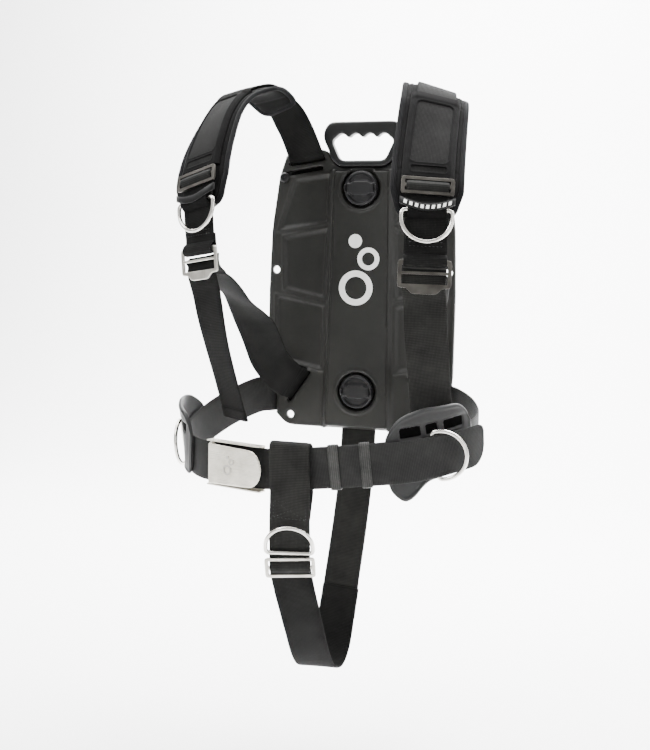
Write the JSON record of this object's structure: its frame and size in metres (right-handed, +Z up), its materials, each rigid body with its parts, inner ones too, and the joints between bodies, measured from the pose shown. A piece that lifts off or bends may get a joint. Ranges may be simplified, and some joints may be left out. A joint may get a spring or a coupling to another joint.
{
  "type": "buoyancy compensator vest",
  "caption": "Diving harness with a moulded backplate, carry handle, padded shoulder straps, waist belt with a cam buckle, and a crotch strap.",
  "frame": {"origin": "on the flat back of the backplate, midway between the two stud bores", "axes": "+Z up towards the carry handle, +Y out of the back towards the cylinder, +X to the right as seen from the wearer side"},
  "size_m": [0.4071, 0.2852, 0.7635],
  "materials": {
    "moulded_plastic": "moulded, fine matt grain",
    "hip_plastic": "moulded, satin",
    "nylon": "smooth nylon",
    "webbing": "woven 50 mm nylon webbing",
    "pad_fabric": "woven nylon over foam",
    "rubber": "smooth rubber",
    "elastic": "woven elastic",
    "steel": "satin stainless steel"
  },
  "bodies": {
    "harness": {"backplate": "moulded_plastic", "belt_left": "webbing", "belt_right": "webbing", "belt_tail": "webbing", "buckle_frame": "steel", "buckle_pin": "steel", "carry_handle": "moulded_plastic", "chest_band_left": "rubber", "chest_band_right": "rubber", "chest_slide_left": "steel", "chest_slide_right": "steel", "crotch_grommet": "nylon", "crotch_slide": "steel", "crotch_strap_front": "webbing", "crotch_strap_lower": "webbing", "crotch_strap_rear": "webbing", "handle_screw_left": "steel", "handle_screw_right": "steel", "hip_plate_left": "hip_plastic", "hip_plate_right": "hip_plastic", "lower_strap_left": "webbing", "lower_strap_right": "webbing", "lower_washer": "nylon", "rivet_upper_left": "moulded_plastic", "rivet_upper_right": "moulded_plastic", "shoulder_pad_left": "pad_fabric", "shoulder_pad_right": "pad_fabric", "shoulder_webbing_left": "webbing", "shoulder_webbing_right": "webbing", "strap_tail_left": "webbing", "strap_tail_right": "webbing", "upper_washer": "nylon"},
    "upper_screw": {"upper_knob": "moulded_plastic", "upper_stud": "steel"},
    "lower_screw": {"lower_knob": "moulded_plastic", "lower_stud": "steel"},
    "chest_ring_left": {"chest_ring_left": "steel"},
    "chest_ring_right": {"chest_ring_right": "steel"},
    "belt_ring_left": {"belt_ring_left": "steel"},
    "belt_ring_right": {"belt_ring_right": "steel"},
    "crotch_ring": {"crotch_ring": "steel"},
    "buckle_lever": {"buckle_lever": "steel"},
    "adjuster_left": {"adjuster_left": "steel"},
    "adjuster_right": {"adjuster_right": "steel"},
    "belt_keeper_inner": {"belt_keeper_inner": "elastic"},
    "belt_keeper_outer": {"belt_keeper_outer": "elastic"}
  },
  "joints": [
    {"name": "upper_knob_turn", "type": "hinge", "parent": "harness", "child": "upper_screw", "pos_m": [0, -0.0152, 0.1397], "axis": [0, -1, 0], "continuous": true},
    {"name": "lower_knob_turn", "type": "hinge", "parent": "harness", "child": "lower_screw", "pos_m": [0, -0.0152, -0.1397], "axis": [0, -1, 0], "continuous": true},
    {"name": "chest_ring_left_swing", "type": "hinge", "parent": "harness", "child": "chest_ring_left", "pos_m": [-0.15332, -0.2182, 0.10897], "axis": [0.9195, -0.3395, 0.1983], "range_deg": [-100, 0]},
    {"name": "chest_ring_right_swing", "type": "hinge", "parent": "harness", "child": "chest_ring_right", "pos_m": [0.13421, -0.21828, 0.09928], "axis": [0.9607, 0.2767, -0.024], "range_deg": [-100, 0]},
    {"name": "belt_ring_left_swing", "type": "hinge", "parent": "harness", "child": "belt_ring_left", "pos_m": [-0.2003, -0.14503, -0.19934], "axis": [-0.0423, -0.2901, 0.9561], "range_deg": [-100, 0]},
    {"name": "belt_ring_right_swing", "type": "hinge", "parent": "harness", "child": "belt_ring_right", "pos_m": [0.15161, -0.21393, -0.18519], "axis": [-0.173, -0.1145, 0.9782], "range_deg": [-50, 6]},
    {"name": "crotch_ring_swing", "type": "hinge", "parent": "harness", "child": "crotch_ring", "pos_m": [-0.01835, -0.23748, -0.31257], "axis": [-0.9787, -0.2047, -0.0166], "range_deg": [-80, 0]},
    {"name": "buckle_lever_turn", "type": "hinge", "parent": "harness", "child": "buckle_lever", "pos_m": [-0.12948, -0.21649, -0.21319], "axis": [-0.0043, 0.0017, 1], "range_deg": [-110, 0]},
    {"name": "adjuster_left_tilt", "type": "hinge", "parent": "harness", "child": "adjuster_left", "pos_m": [-0.14621, -0.22391, 0.04808], "axis": [0.9178, -0.3768, 0.1253], "range_deg": [-35, 0]},
    {"name": "adjuster_right_tilt", "type": "hinge", "parent": "harness", "child": "adjuster_right", "pos_m": [0.13489, -0.22401, 0.03822], "axis": [0.9594, 0.2813, -0.02], "range_deg": [-35, 0]},
    {"name": "belt_keeper_inner_slide", "type": "slide", "parent": "harness", "child": "belt_keeper_inner", "axis": [-0.991, -0.0556, -0.122], "range_m": [-0.004, 0.004]},
    {"name": "belt_keeper_outer_slide", "type": "slide", "parent": "harness", "child": "belt_keeper_outer", "axis": [-0.9718, -0.2048, -0.1172], "range_m": [-0.004, 0.004]}
  ]
}
